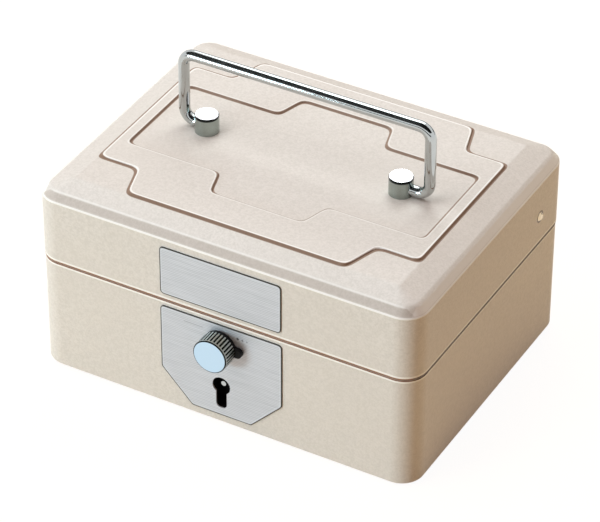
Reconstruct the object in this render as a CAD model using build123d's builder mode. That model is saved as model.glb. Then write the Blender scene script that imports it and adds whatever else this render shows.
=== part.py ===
from build123d import *
import os
from math import atan2, cos, degrees, sin

# A small lockable steel stamp box: a pressed base and a hinged pressed lid with a
# geometric emboss, a wire carrying handle, a turning knob latch and a key lock.
# X runs to the right, Y to the back and Z up. Z is zero under the rubber pad that the case
# stands on, and X and Y are zero in the middle of the case.

# Case
case_width = 184.0
case_depth = 140.0
corner_radius = 10.5
sheet = 0.8
pad_thickness = 1.2
base_height = 55.0
base_inset = 0.25
base_bottom_radius = 1.0
sheet_edge = 0.3
slot_end_ease = 0.35
rim_height = 8.0
rim_clearance = 0.45
parting_gap = 0.4

# Lid
skirt_height = 31.4
knee_inset = 3.4
knee_rise = 3.9
knee_radius = 4.0
slope_rise = 3.4
frame_inset_side = 14.2
frame_inset_front = 11.8
frame_corner_radius = 1.2
frame_radius = 3.0

# Emboss of the lid's top: a raised field with notched corners and a sunk panel with two tabs
emboss_height = 0.8
riser_run = 0.7
riser_lap = 0.35
field_margin = 0.1
notch_length = 19.9
notch_depth = 17.9
notch_lean = 5.4
panel_half_length = 72.0
panel_half_depth = 25.9
tab_half_depth = 40.3
tab_half_root = 26.4
tab_half_tip = 22.2
emboss_corner_radius = 3.0

# Hinge
hinge_length = 120.0
knuckle_count = 5
knuckle_gap = 0.3
leaf_thickness = 1.0
pin_radius = 1.2
pin_clearance = 0.05
pin_head_radius = 1.9
pin_head_height = 0.8
leaf_relief = 0.5
slot_end_room = 2.5
bracket_clearance = 1.6
bracket_height = 10.0
ear_length = 36.0
base_leaf_height = 17.0
leaf_edge_drop = 0.4

# Rivets
rivet_radius = 1.3
rivet_head_radius = 2.1
rivet_head_height = 0.8
rivet_crown_radius = 1.2
rivet_tail_radius = 1.9
rivet_tail_height = 0.8
rivet_fit = 0.05
side_rivet_setback = 25.4
lid_rivet_spread_share = 0.72
base_rivet_spread_share = 0.84
rear_rivet_count = 3
base_rivet_drop = 10.0

# Handle and its posts
wire_diameter = 5.0
handle_leg_reach = 12.25
handle_rise = 33.3
handle_bend_radius = 5.5
handle_shift = 1.2
handle_end_reach = 0.6
post_spacing = 94.8
post_radius = 5.4
post_height = 8.6
post_edge = 0.4
pivot_height = 3.1
wire_clearance = 0.08
post_bore_past_centre = 3.2
spigot_radius = 3.0
peen_radius = 4.4
peen_height = 1.4
post_washer_radius = 7.5
post_washer_thickness = 1.0

# Front plates
plate_thickness = 0.5
plate_corner_radius = 1.8
name_plate_width = 58.4
name_plate_height = 24.2
name_plate_rise = 3.7
lock_plate_width = 59.0
lock_plate_drop = 2.5
lock_plate_side_height = 32.6
lock_plate_foot_width = 29.0
lock_plate_foot_height = 15.6
stud_radius = 1.5
stud_clearance = 0.1
stud_length = 4.6
nut_across_flats = 5.5
nut_height = 2.0

# Knob, its index collar, spindle and latch cam
knob_height_share = 0.763
knob_radius = 8.0
knob_length = 7.3
knob_rib_count = 32
knob_groove_depth = 0.5
knob_groove_width = 0.9
knob_band = 1.0
knob_face_edge = 0.3
knob_bore_depth = 5.0
collar_radius = 7.6
collar_thickness = 1.9
collar_gap = 0.35
nib_radius = 2.2
nib_reach = 9.0
spindle_radius = 2.5
spindle_clearance = 0.05
spindle_thread_radius = 1.8
cam_thickness = 1.5
cam_hub_radius = 7.0
cam_square = 3.4
spindle_flange_radius = 4.0
cam_notch_width = 4.4
cam_notch_floor = 4.6
hook_inner_radius = 10.2
hook_outer_radius = 12.7
hook_start_angle = -40.0
hook_arm_angle = 18.0
hook_end_angle = 17.0
cam_plane_setback = 5.25
cam_nut_across_flats = 7.0
cam_nut_height = 2.6
spindle_end_reach = 0.6

# Strike on the lid
strike_thickness = 1.2
strike_width = 50.0
strike_flange_height = 11.0
strike_flange_rise = 10.6
strike_tongue_width = 12.0
strike_foot_width = 5.6
strike_foot_length = 5.3
strike_foot_gap = 1.2
strike_rim_gap = 0.65
strike_stud_spread = 40.0
name_stud_length = 4.6

# Lock
keyhole_drop = 21.9
keyhole_radius = 4.35
keyhole_slot_width = 5.2
keyhole_slot_reach = 11.8
keyhole_ease = 0.6
backing_thickness = 1.0
backing_width = 52.0
backing_bottom = 5.5
backing_top = 49.0
stud_spread = 44.0
stud_upper_level = 45.5
stud_lower_level = 25.5
lock_wall = 1.0
lock_case_width = 29.0
lock_case_bottom = 6.8
lock_case_top = 32.5
lock_case_depth = 7.0
lug_width = 6.0
lug_height = 8.0
lug_level = 14.0
lug_screw_radius = 1.3
lug_screw_head_radius = 2.5
lug_screw_head_height = 1.6
drill_pin_radius = 1.2
drill_pin_setback = 2.0
bolt_thickness = 2.0
bolt_width = 18.0
bolt_body_height = 3.6
bolt_leg_width = 3.6
bolt_leg_drop = 11.0
bolt_stem_width = 4.0
bolt_cam_gap = 1.0
bolt_travel = 3.0
bolt_fit = 0.1
talon_height = 5.0
talon_depth = 2.2
bolt_spring_thickness = 0.4
bolt_spring_width = 3.0

# Tray, its dividers and the ledges that carry it
tray_wall = 1.2
tray_side_gap = 3.95
tray_front_room = 12.0
tray_rear_room = 6.0
tray_height = 24.0
tray_top_drop = 1.0
tray_corner_radius = 9.0
tray_pocket_radius = 4.0
tray_foot_edge = 1.0
front_lane_depth = 44.0
front_lane_split_share = 0.6
grip_radius = 13.0
grip_rise = 4.0
divider_count = 3
divider_thickness = 1.2
divider_fit = 0.15
divider_drop = 3.0
guide_rib_width = 1.2
guide_rib_depth = 1.4
divider_notch_radius = 9.0
divider_notch_rise = 4.0
ledge_thickness = 1.0
ledge_height = 10.0
ledge_reach = 9.0
ledge_length = 90.0

# Pad glued under the base
pad_inset = 7.0
pad_corner_radius = 5.0

# How far a cutting shape runs past what it cuts, and how near an edge has to lie to be picked
overrun = 1.0
near = 0.01

# Levels and planes worked out from the sizes above
half_width = case_width / 2
half_depth = case_depth / 2
parting = pad_thickness + base_height
rim_top = parting + rim_height
lid_edge = parting + parting_gap
skirt_top = lid_edge + skirt_height
knee_level = skirt_top + knee_rise
frame_level = knee_level + slope_rise
field_level = frame_level + emboss_height
roof_level = frame_level - sheet

base_face = half_depth - base_inset
base_inner_face = base_face - sheet
lid_inner_face = half_depth - sheet
rim_inset = sheet + rim_clearance
rim_inner_face = half_depth - rim_inset - sheet

barrel_radius = pin_radius + pin_clearance + leaf_thickness
hinge_y = lid_inner_face - leaf_thickness + barrel_radius
hinge_z = parting
slot_half_height = barrel_radius + leaf_relief

plate_front = base_face + plate_thickness
backing_inner = base_inner_face - backing_thickness
knob_level = pad_thickness + base_height * knob_height_share
keyhole_level = knob_level - keyhole_drop
cam_front = base_face - cam_plane_setback + cam_thickness / 2
cam_back = cam_front - cam_thickness
collar_back = plate_front + collar_gap
knob_back = collar_back + collar_thickness
knob_front = knob_back + knob_length

pivot_level = frame_level + pivot_height
post_top = frame_level + post_height

tray_top = parting - tray_top_drop
tray_bottom = tray_top - tray_height
tray_half_width = rim_inner_face - half_depth + half_width - tray_side_gap
tray_front_y = tray_front_room - half_depth
tray_rear_y = half_depth - tray_rear_room
tray_centre_y = (tray_front_y + tray_rear_y) / 2
tray_depth = tray_rear_y - tray_front_y

os.makedirs("parts", exist_ok=True)


def finish(builder, name):
    """Label a finished piece and write it out."""
    builder.part.label = name
    export_step(builder.part, f"parts/{name}.step")


def upright(y):
    """Plane facing the front, at a place along Y."""
    return Plane.XZ.offset(-y)


def sideways(x):
    """Plane facing the right, at a place along X."""
    return Plane.YZ.offset(x)


def slab(width, depth, radius, bottom, top, mode=Mode.ADD):
    """Prism with rounded corners between two heights."""
    with BuildSketch(Plane.XY.offset(bottom)) as outline:
        RectangleRounded(width, depth, radius)
    extrude(outline.sketch, amount=top - bottom, mode=mode)


def block(low, high, mode=Mode.ADD):
    """Plain box between two opposite corners."""
    low, high = Vector(*low), Vector(*high)
    middle, size = (low + high) / 2, high - low
    with Locations(middle):
        Box(size.X, size.Y, size.Z, mode=mode)


def rod(start, end, radius, mode=Mode.ADD):
    """Cylinder between two points."""
    start, end = Vector(*start), Vector(*end)
    with BuildSketch(Plane(start, z_dir=end - start)) as section:
        Circle(radius)
    extrude(section.sketch, amount=(end - start).length, mode=mode)


def on_knob(depth):
    """Plane facing the front and centred on the knob's axis, at a depth from the middle."""
    return Plane((0, -depth, knob_level), x_dir=(1, 0, 0), z_dir=(0, -1, 0))


def front_bores(places, radius, outer, inner):
    """Holes along Y through the front, at places given as x and z, between two depths from the middle."""
    for x, z in places:
        rod((x, -outer, z), (x, -inner, z), radius, mode=Mode.SUBTRACT)


def tier(lower, upper):
    """Sloped part of the lid between two rounded outlines, each an inset x, inset y, radius and height."""
    outlines = []
    for inset_x, inset_y, radius, level in (lower, upper):
        with BuildSketch(Plane.XY.offset(level)) as outline:
            RectangleRounded(case_width - 2 * inset_x, case_depth - 2 * inset_y, radius)
        outlines.append(outline.sketch.face())
    loft(outlines, ruled=True)


def level_edges(builder, level):
    """Edges whose middle lies at a height."""
    return builder.edges().filter_by_position(Axis.Z, level - near, level + near)


def four_ways(quarter):
    """Closed outline from the points of its first quadrant, listed anticlockwise."""
    left = [(-x, y) for x, y in reversed(quarter)]
    under = [(-x, -y) for x, y in quarter]
    right = [(x, -y) for x, y in reversed(quarter)]
    return quarter + left + under + right


def emboss_outline(points, growth, level):
    """Outline of an embossed step with softened corners, grown all round, at a height."""
    with BuildSketch(Plane.XY.offset(level)) as outline:
        with BuildLine():
            Polyline(*points, close=True)
        make_face()
        fillet(outline.vertices(), radius=emboss_corner_radius)
        if growth:
            offset(amount=growth)
    return outline.sketch


def keyhole(outer, inner, ease):
    """Keyhole through the front between two depths from the middle, its round part over its slot."""
    with BuildSketch(upright(-outer)) as opening:
        with Locations((0, keyhole_level)):
            Circle(keyhole_radius + ease)
        with Locations((0, keyhole_level - keyhole_slot_reach / 2)):
            Rectangle(keyhole_slot_width + 2 * ease, keyhole_slot_reach + 2 * ease)
        fillet(
            opening.vertices().group_by(Axis.Y)[0],
            radius=keyhole_slot_width / 2 - slot_end_ease,
        )
    extrude(opening.sketch, amount=inner - outer, mode=Mode.SUBTRACT)


def rivet(grip):
    """Set rivet along Z: its formed head above zero, its shank through the grip and its tail below."""
    with BuildPart() as body:
        with BuildSketch(Plane.XZ):
            with BuildLine():
                Polyline(
                    (0, rivet_head_height),
                    (0, -grip - rivet_tail_height),
                    (rivet_tail_radius, -grip - rivet_tail_height),
                    (rivet_tail_radius, -grip),
                    (rivet_radius, -grip),
                    (rivet_radius, 0),
                    (rivet_head_radius, 0),
                    (rivet_crown_radius, rivet_head_height),
                    close=True,
                )
            make_face()
        revolve(axis=Axis.Z)
    return body.part


def hex_nut(across_flats, bore, height):
    """Hexagon nut standing on zero along Z."""
    with BuildPart() as body:
        with BuildSketch():
            RegularPolygon(across_flats / 2, 6, major_radius=False)
            Circle(bore, mode=Mode.SUBTRACT)
        extrude(amount=height)
    return body.part


# Places that several pieces share

base_half_width = half_width - base_inset
stud_places = [
    (side * stud_spread / 2, pad_thickness + level)
    for side in (-1, 1)
    for level in (stud_lower_level, stud_upper_level)
]
lug_places = [(side * (lock_case_width + lug_width) / 2, pad_thickness + lug_level) for side in (-1, 1)]
strike_studs = [
    (side * strike_stud_spread / 2, lid_edge + name_plate_rise + name_plate_height / 2) for side in (-1, 1)
]
post_places = [(side * post_spacing / 2, 0) for side in (-1, 1)]

bracket_bottom = rim_top + bracket_clearance
bracket_top = bracket_bottom + bracket_height
bracket_level = (bracket_bottom + bracket_top) / 2
side_rivet_y = half_depth - side_rivet_setback
base_rivet_level = parting - base_rivet_drop
rivet_hole = rivet_radius + rivet_fit
rivet_steps = [2 * step / (rear_rivet_count - 1) - 1 for step in range(rear_rivet_count)]
lid_rivet_places = [step * hinge_length * lid_rivet_spread_share / 2 for step in rivet_steps]
base_rivet_places = [step * hinge_length * base_rivet_spread_share / 2 for step in rivet_steps]


# Base shell

with BuildPart() as base_shell:
    slab(2 * base_half_width, 2 * base_face, corner_radius - base_inset, pad_thickness, parting)
    fillet(level_edges(base_shell, pad_thickness), radius=base_bottom_radius)
    chamfer(level_edges(base_shell, parting), length=sheet_edge)
    slab(
        case_width - 2 * rim_inset,
        case_depth - 2 * rim_inset,
        corner_radius - rim_inset,
        parting - sheet,
        rim_top,
    )
    chamfer(level_edges(base_shell, rim_top), length=sheet_edge)
with BuildPart() as base_cavity:
    slab(
        2 * (base_half_width - sheet),
        2 * base_inner_face,
        corner_radius - base_inset - sheet,
        pad_thickness + sheet,
        parting - sheet,
    )
    slab(
        case_width - 2 * (rim_inset + sheet),
        case_depth - 2 * (rim_inset + sheet),
        corner_radius - rim_inset - sheet,
        parting - sheet,
        rim_top + overrun,
    )
with base_shell:
    add(base_cavity.part, mode=Mode.SUBTRACT)
    block(
        (-hinge_length / 2 - slot_end_room, rim_inner_face - overrun, hinge_z - slot_half_height),
        (hinge_length / 2 + slot_end_room, half_depth + overrun, rim_top + overrun),
        mode=Mode.SUBTRACT,
    )
    keyhole(base_face + overrun, base_inner_face - overrun, keyhole_ease)
    front_bores(stud_places, stud_radius + stud_clearance, base_face + overrun, base_inner_face - overrun)
    front_bores(
        [(0, knob_level)],
        spindle_radius + keyhole_ease,
        base_face + overrun,
        base_inner_face - overrun,
    )
    for x in base_rivet_places:
        rod(
            (x, base_inner_face - overrun, base_rivet_level),
            (x, base_face + overrun, base_rivet_level),
            rivet_hole,
            mode=Mode.SUBTRACT,
        )
finish(base_shell, "base_shell")


# Lid shell

def folded(inset, level, lower_rise, upper_rise):
    """Where the inside of the sheet turns, under a fold whose two sides climb at these angles."""
    middle = (lower_rise + upper_rise) / 2
    reach = sheet / cos((lower_rise - upper_rise) / 2)
    return inset + reach * sin(middle), level - reach * cos(middle)


upright_rise = atan2(skirt_height, 0)
band_rise = atan2(knee_rise, knee_inset)
slope_rise_angle = atan2(slope_rise, frame_inset_side - knee_inset)
inner_skirt_inset, inner_skirt_top = folded(0, skirt_top, upright_rise, band_rise)
inner_knee_inset, inner_knee_level = folded(knee_inset, knee_level, band_rise, slope_rise_angle)
inner_frame_shift, inner_frame_level = folded(0, frame_level, slope_rise_angle, 0)
riser_taper = degrees(atan2(riser_run, emboss_height))

field_half_length = half_width - frame_inset_side - field_margin
field_half_depth = half_depth - frame_inset_front - field_margin
field_points = four_ways(
    [
        (field_half_length, field_half_depth - notch_depth),
        (field_half_length - notch_length, field_half_depth - notch_depth),
        (field_half_length - notch_length - notch_lean, field_half_depth),
    ]
)
panel_points = four_ways(
    [
        (panel_half_length, panel_half_depth),
        (tab_half_root, panel_half_depth),
        (tab_half_tip, tab_half_depth),
    ]
)

with BuildPart() as lid_shell:
    slab(case_width, case_depth, corner_radius, lid_edge, skirt_top)
    tier(
        (0, 0, corner_radius, skirt_top),
        (knee_inset, knee_inset, corner_radius - knee_inset, knee_level),
    )
    tier(
        (knee_inset, knee_inset, corner_radius - knee_inset, knee_level),
        (frame_inset_side, frame_inset_front, frame_corner_radius, frame_level),
    )
    fillet(level_edges(lid_shell, knee_level), radius=knee_radius)
    fillet(level_edges(lid_shell, frame_level), radius=frame_radius)
    chamfer(level_edges(lid_shell, lid_edge), length=sheet_edge)
    extrude(emboss_outline(field_points, 0, frame_level), amount=emboss_height, taper=riser_taper)
    extrude(
        emboss_outline(panel_points, 0, field_level),
        amount=-emboss_height,
        taper=riser_taper,
        mode=Mode.SUBTRACT,
    )
with BuildPart() as lid_cavity:
    slab(
        case_width - 2 * sheet,
        case_depth - 2 * sheet,
        corner_radius - sheet,
        lid_edge - overrun,
        inner_skirt_top,
    )
    tier(
        (inner_skirt_inset, inner_skirt_inset, corner_radius - inner_skirt_inset, inner_skirt_top),
        (inner_knee_inset, inner_knee_inset, corner_radius - inner_knee_inset, inner_knee_level),
    )
    tier(
        (inner_knee_inset, inner_knee_inset, corner_radius - inner_knee_inset, inner_knee_level),
        (
            frame_inset_side + inner_frame_shift,
            frame_inset_front + inner_frame_shift,
            frame_corner_radius,
            inner_frame_level,
        ),
    )
    extrude(
        emboss_outline(field_points, -riser_lap, inner_frame_level),
        amount=emboss_height,
        taper=riser_taper,
    )
    extrude(
        emboss_outline(panel_points, riser_lap, inner_frame_level + emboss_height),
        amount=-emboss_height,
        taper=riser_taper,
        mode=Mode.SUBTRACT,
    )

with lid_shell:
    add(lid_cavity.part, mode=Mode.SUBTRACT)
    block(
        (-hinge_length / 2 - slot_end_room, lid_inner_face - overrun, parting - overrun),
        (hinge_length / 2 + slot_end_room, half_depth + overrun, hinge_z + slot_half_height),
        mode=Mode.SUBTRACT,
    )
    for x in lid_rivet_places:
        rod(
            (x, lid_inner_face - overrun, bracket_level),
            (x, half_depth + overrun, bracket_level),
            rivet_hole,
            mode=Mode.SUBTRACT,
        )
    for side in (-1, 1):
        rod(
            (side * (half_width - sheet - overrun), side_rivet_y, bracket_level),
            (side * (half_width + overrun), side_rivet_y, bracket_level),
            rivet_hole,
            mode=Mode.SUBTRACT,
        )
    front_bores(strike_studs, stud_radius + stud_clearance, half_depth + overrun, lid_inner_face - overrun)
    for x, y in post_places:
        rod(
            (x, y, roof_level - overrun),
            (x, y, frame_level + overrun),
            spigot_radius,
            mode=Mode.SUBTRACT,
        )
finish(lid_shell, "lid_shell")


# Hinge

knuckle_pitch = hinge_length / knuckle_count
knuckle_length = knuckle_pitch - knuckle_gap


def knuckle_places(first):
    """Places along X of every other knuckle, from the first or the second one."""
    return [knuckle_pitch * (number - (knuckle_count - 1) / 2) for number in range(first, knuckle_count, 2)]


def knuckles(first, leaf_face, edge):
    """Rolled knuckles of one leaf with the webs that join them to the leaf's edge, and their bore."""
    for x in knuckle_places(first):
        with BuildSketch(sideways(x - knuckle_length / 2)) as section:
            with Locations((hinge_y, hinge_z)):
                Circle(barrel_radius)
            with Locations((leaf_face - leaf_thickness / 2, (edge + hinge_z) / 2)):
                Rectangle(leaf_thickness, abs(edge - hinge_z))
        extrude(section.sketch, amount=knuckle_length)
    rod(
        (-half_width, hinge_y, hinge_z),
        (half_width, hinge_y, hinge_z),
        pin_radius + pin_clearance,
        mode=Mode.SUBTRACT,
    )


base_leaf_top = hinge_z - slot_half_height - leaf_edge_drop
with BuildPart() as base_hinge_leaf:
    block(
        (-hinge_length / 2, base_inner_face - leaf_thickness, hinge_z - base_leaf_height),
        (hinge_length / 2, base_inner_face, base_leaf_top),
    )
    knuckles(0, base_inner_face, base_leaf_top)
    for x in base_rivet_places:
        rod(
            (x, base_inner_face - leaf_thickness - overrun, base_rivet_level),
            (x, base_inner_face + overrun, base_rivet_level),
            rivet_hole,
            mode=Mode.SUBTRACT,
        )
finish(base_hinge_leaf, "base_hinge_leaf")

lid_leaf_bottom = hinge_z + slot_half_height + leaf_edge_drop
lid_inner_half_width = half_width - sheet
with BuildPart() as lid_hinge_leaf:
    slab(
        2 * lid_inner_half_width,
        2 * lid_inner_face,
        corner_radius - sheet,
        bracket_bottom,
        bracket_top,
    )
    slab(
        2 * (lid_inner_half_width - leaf_thickness),
        2 * (lid_inner_face - leaf_thickness),
        corner_radius - sheet - leaf_thickness,
        bracket_bottom - overrun,
        bracket_top + overrun,
        mode=Mode.SUBTRACT,
    )
    block(
        (-half_width, -half_depth, bracket_bottom - overrun),
        (half_width, half_depth - ear_length, bracket_top + overrun),
        mode=Mode.SUBTRACT,
    )
    block(
        (-hinge_length / 2, lid_inner_face - leaf_thickness, lid_leaf_bottom),
        (hinge_length / 2, lid_inner_face, bracket_bottom),
    )
    knuckles(1, lid_inner_face, lid_leaf_bottom)
    for x in lid_rivet_places:
        rod(
            (x, lid_inner_face - leaf_thickness - overrun, bracket_level),
            (x, lid_inner_face + overrun, bracket_level),
            rivet_hole,
            mode=Mode.SUBTRACT,
        )
    for side in (-1, 1):
        rod(
            (side * (lid_inner_half_width - leaf_thickness - overrun), side_rivet_y, bracket_level),
            (side * (lid_inner_half_width + overrun), side_rivet_y, bracket_level),
            rivet_hole,
            mode=Mode.SUBTRACT,
        )
finish(lid_hinge_leaf, "lid_hinge_leaf")

with BuildPart() as hinge_pin:
    rod((-hinge_length / 2, hinge_y, hinge_z), (hinge_length / 2, hinge_y, hinge_z), pin_radius)
    for side in (-1, 1):
        rod(
            (side * hinge_length / 2, hinge_y, hinge_z),
            (side * (hinge_length / 2 + pin_head_height), hinge_y, hinge_z),
            pin_head_radius,
        )
finish(hinge_pin, "hinge_pin")

with BuildPart() as base_hinge_rivets:
    for x in base_rivet_places:
        with Locations(Plane((x, base_face, base_rivet_level), x_dir=(1, 0, 0), z_dir=(0, 1, 0))):
            add(rivet(sheet + leaf_thickness))
finish(base_hinge_rivets, "base_hinge_rivets")

with BuildPart() as lid_hinge_rivets:
    for x in lid_rivet_places:
        with Locations(Plane((x, half_depth, bracket_level), x_dir=(1, 0, 0), z_dir=(0, 1, 0))):
            add(rivet(sheet + leaf_thickness))
finish(lid_hinge_rivets, "lid_hinge_rivets")

with BuildPart() as lid_side_rivets:
    for side in (-1, 1):
        with Locations(
            Plane((side * half_width, side_rivet_y, bracket_level), x_dir=(0, 1, 0), z_dir=(side, 0, 0))
        ):
            add(rivet(sheet + leaf_thickness))
finish(lid_side_rivets, "lid_side_rivets")


# Name plate and strike on the front of the lid

with BuildPart() as name_plate:
    with BuildSketch(upright(-half_depth)):
        with Locations((0, strike_studs[0][1])):
            RectangleRounded(name_plate_width, name_plate_height, plate_corner_radius)
    extrude(amount=plate_thickness)
    for x, z in strike_studs:
        rod((x, -half_depth, z), (x, name_stud_length - half_depth, z), stud_radius)
finish(name_plate, "name_plate")

flange_bottom = parting + strike_flange_rise
tongue_front = rim_inner_face - strike_rim_gap
foot_top = knob_level + hook_inner_radius - strike_foot_gap
with BuildPart() as strike_plate:
    block(
        (-strike_width / 2, -lid_inner_face, flange_bottom),
        (strike_width / 2, strike_thickness - lid_inner_face, flange_bottom + strike_flange_height),
    )
    block(
        (-strike_tongue_width / 2, -lid_inner_face, flange_bottom),
        (strike_tongue_width / 2, strike_thickness - tongue_front, flange_bottom + strike_thickness),
    )
    block(
        (-strike_tongue_width / 2, -tongue_front, foot_top - strike_thickness),
        (strike_tongue_width / 2, strike_thickness - tongue_front, flange_bottom + strike_thickness),
    )
    block(
        (-strike_foot_width / 2, -tongue_front, foot_top - strike_thickness),
        (strike_foot_width / 2, strike_foot_length - tongue_front, foot_top),
    )
    front_bores(
        strike_studs,
        stud_radius + stud_clearance,
        lid_inner_face + overrun,
        lid_inner_face - strike_thickness - overrun,
    )
finish(strike_plate, "strike_plate")

with BuildPart() as name_plate_nuts:
    for x, z in strike_studs:
        with Locations(Plane((x, strike_thickness - lid_inner_face, z), x_dir=(1, 0, 0), z_dir=(0, 1, 0))):
            add(hex_nut(nut_across_flats, stud_radius + stud_clearance, nut_height))
finish(name_plate_nuts, "name_plate_nuts")


# Handle posts, their washers and the handle

for name, side in (("left_handle_post", -1), ("right_handle_post", 1)):
    x = side * post_spacing / 2
    with BuildPart() as post:
        rod((x, 0, frame_level), (x, 0, post_top), post_radius)
        chamfer(level_edges(post, post_top), length=post_edge)
        rod((x, 0, roof_level - post_washer_thickness), (x, 0, frame_level), spigot_radius)
        rod(
            (x, 0, roof_level - post_washer_thickness - peen_height),
            (x, 0, roof_level - post_washer_thickness),
            peen_radius,
        )
        rod(
            (x + side * (post_radius + overrun), 0, pivot_level),
            (x - side * post_bore_past_centre, 0, pivot_level),
            wire_diameter / 2 + wire_clearance,
            mode=Mode.SUBTRACT,
        )
    finish(post, name)

with BuildPart() as handle_washers:
    for x, y in post_places:
        rod((x, y, roof_level - post_washer_thickness), (x, y, roof_level), post_washer_radius)
        rod(
            (x, y, roof_level - post_washer_thickness - overrun),
            (x, y, roof_level + overrun),
            spigot_radius,
            mode=Mode.SUBTRACT,
        )
finish(handle_washers, "handle_washers")

handle_end = post_spacing / 2 - handle_end_reach
handle_leg = post_spacing / 2 + handle_leg_reach
with BuildPart() as handle:
    with BuildLine() as handle_path:
        FilletPolyline(
            (handle_shift - handle_end, 0, pivot_level),
            (handle_shift - handle_leg, 0, pivot_level),
            (handle_shift - handle_leg, 0, pivot_level + handle_rise),
            (handle_shift + handle_leg, 0, pivot_level + handle_rise),
            (handle_shift + handle_leg, 0, pivot_level),
            (handle_shift + handle_end, 0, pivot_level),
            radius=handle_bend_radius,
        )
    with BuildSketch(Plane((handle_shift - handle_end, 0, pivot_level), z_dir=(-1, 0, 0))):
        Circle(wire_diameter / 2)
    sweep()
finish(handle, "handle")


# Lock plate on the front of the base, its backing and its nuts

lock_plate_top = parting - lock_plate_drop
lock_plate_shoulder = lock_plate_top - lock_plate_side_height
lock_plate_bottom = lock_plate_shoulder - lock_plate_foot_height
with BuildPart() as lock_plate:
    with BuildSketch(upright(-base_face)) as plate_outline:
        with BuildLine():
            Polyline(
                (-lock_plate_width / 2, lock_plate_top),
                (-lock_plate_width / 2, lock_plate_shoulder),
                (-lock_plate_foot_width / 2, lock_plate_bottom),
                (lock_plate_foot_width / 2, lock_plate_bottom),
                (lock_plate_width / 2, lock_plate_shoulder),
                (lock_plate_width / 2, lock_plate_top),
                close=True,
            )
        make_face()
        fillet(plate_outline.vertices(), radius=plate_corner_radius)
    extrude(amount=plate_thickness)
    for x, z in stud_places:
        rod((x, -base_face, z), (x, stud_length - base_face, z), stud_radius)
    keyhole(plate_front + overrun, base_face - overrun, 0)
    front_bores(
        [(0, knob_level)],
        spindle_radius + spindle_clearance,
        plate_front + overrun,
        base_face - overrun,
    )
finish(lock_plate, "lock_plate")

with BuildPart() as lock_backing:
    block(
        (-backing_width / 2, -base_inner_face, pad_thickness + backing_bottom),
        (backing_width / 2, -backing_inner, pad_thickness + backing_top),
    )
    keyhole(base_inner_face + overrun, backing_inner - overrun, keyhole_ease)
    front_bores(
        stud_places,
        stud_radius + stud_clearance,
        base_inner_face + overrun,
        backing_inner - overrun,
    )
    front_bores(
        [(0, knob_level)],
        spindle_radius + spindle_clearance,
        base_inner_face + overrun,
        backing_inner - overrun,
    )
    front_bores(lug_places, lug_screw_radius, base_inner_face + overrun, backing_inner - overrun)
finish(lock_backing, "lock_backing")

with BuildPart() as lock_plate_nuts:
    for x, z in stud_places:
        with Locations(Plane((x, -backing_inner, z), x_dir=(1, 0, 0), z_dir=(0, 1, 0))):
            add(hex_nut(nut_across_flats, stud_radius + stud_clearance, nut_height))
finish(lock_plate_nuts, "lock_plate_nuts")


# Knob, pointer collar, spindle, latch cam and nut

with BuildPart() as knob:
    rod((0, -knob_back, knob_level), (0, -knob_front, knob_level), knob_radius)
    chamfer(
        knob.edges().filter_by_position(Axis.Y, -knob_front - near, near - knob_front),
        length=knob_face_edge,
    )
    with BuildSketch(on_knob(knob_back)) as grooves:
        with PolarLocations(knob_radius, knob_rib_count):
            Rectangle(2 * knob_groove_depth, knob_groove_width)
    extrude(grooves.sketch, amount=knob_length - knob_band, mode=Mode.SUBTRACT)
    rod(
        (0, -knob_back, knob_level),
        (0, -knob_back - knob_bore_depth, knob_level),
        spindle_radius,
        mode=Mode.SUBTRACT,
    )
finish(knob, "knob")

with BuildPart() as knob_index:
    with BuildSketch(on_knob(collar_back)):
        Circle(collar_radius)
        with Locations((nib_reach / 2, 0)):
            SlotCenterToCenter(nib_reach, 2 * nib_radius)
        Circle(spindle_radius + spindle_clearance, mode=Mode.SUBTRACT)
    extrude(amount=collar_thickness)
finish(knob_index, "knob_index")

with BuildPart() as knob_spindle:
    rod((0, -cam_front, knob_level), (0, -knob_back - knob_bore_depth, knob_level), spindle_radius)
    rod(
        (0, -cam_front, knob_level),
        (0, spindle_clearance - backing_inner, knob_level),
        spindle_flange_radius,
    )
    with BuildSketch(on_knob(cam_back)):
        Rectangle(cam_square, cam_square)
    extrude(amount=cam_thickness)
    rod(
        (0, -cam_back, knob_level),
        (0, cam_nut_height + spindle_end_reach - cam_back, knob_level),
        cam_square / 2,
    )
finish(knob_spindle, "knob_spindle")


def cam_sector(inner, outer, start, end):
    """Part of a ring about the knob's axis between two angles in degrees."""
    with BuildSketch(on_knob(cam_back)) as ring:
        with BuildLine():
            arc = CenterArc((0, 0), outer, start, end - start)
            Line((0, 0), arc @ 0)
            Line((0, 0), arc @ 1)
        make_face()
        Circle(inner, mode=Mode.SUBTRACT)
    extrude(ring.sketch, amount=cam_thickness)


with BuildPart() as latch_cam:
    rod((0, -cam_back, knob_level), (0, -cam_front, knob_level), cam_hub_radius)
    cam_sector(
        cam_hub_radius - overrun,
        hook_outer_radius,
        hook_start_angle,
        hook_start_angle + hook_arm_angle,
    )
    cam_sector(hook_inner_radius, hook_outer_radius, hook_start_angle, hook_end_angle)
    notch_depth_cut = cam_hub_radius + overrun - cam_notch_floor
    notch_centre = cam_notch_floor + notch_depth_cut / 2
    with BuildSketch(on_knob(cam_back)):
        with Locations((0, -notch_centre)):
            Rectangle(cam_notch_width, notch_depth_cut)
        with Locations((-notch_centre, 0)):
            Rectangle(notch_depth_cut, cam_notch_width)
        Rectangle(cam_square, cam_square)
    extrude(amount=cam_thickness, mode=Mode.SUBTRACT)
finish(latch_cam, "latch_cam")

with BuildPart() as cam_nut:
    with Locations(Plane((0, -cam_back, knob_level), x_dir=(1, 0, 0), z_dir=(0, 1, 0))):
        add(hex_nut(cam_nut_across_flats, cam_square / 2 + spindle_clearance, cam_nut_height))
finish(cam_nut, "cam_nut")


# Lock: case, screws, drill pin, bolt and spring

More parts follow.
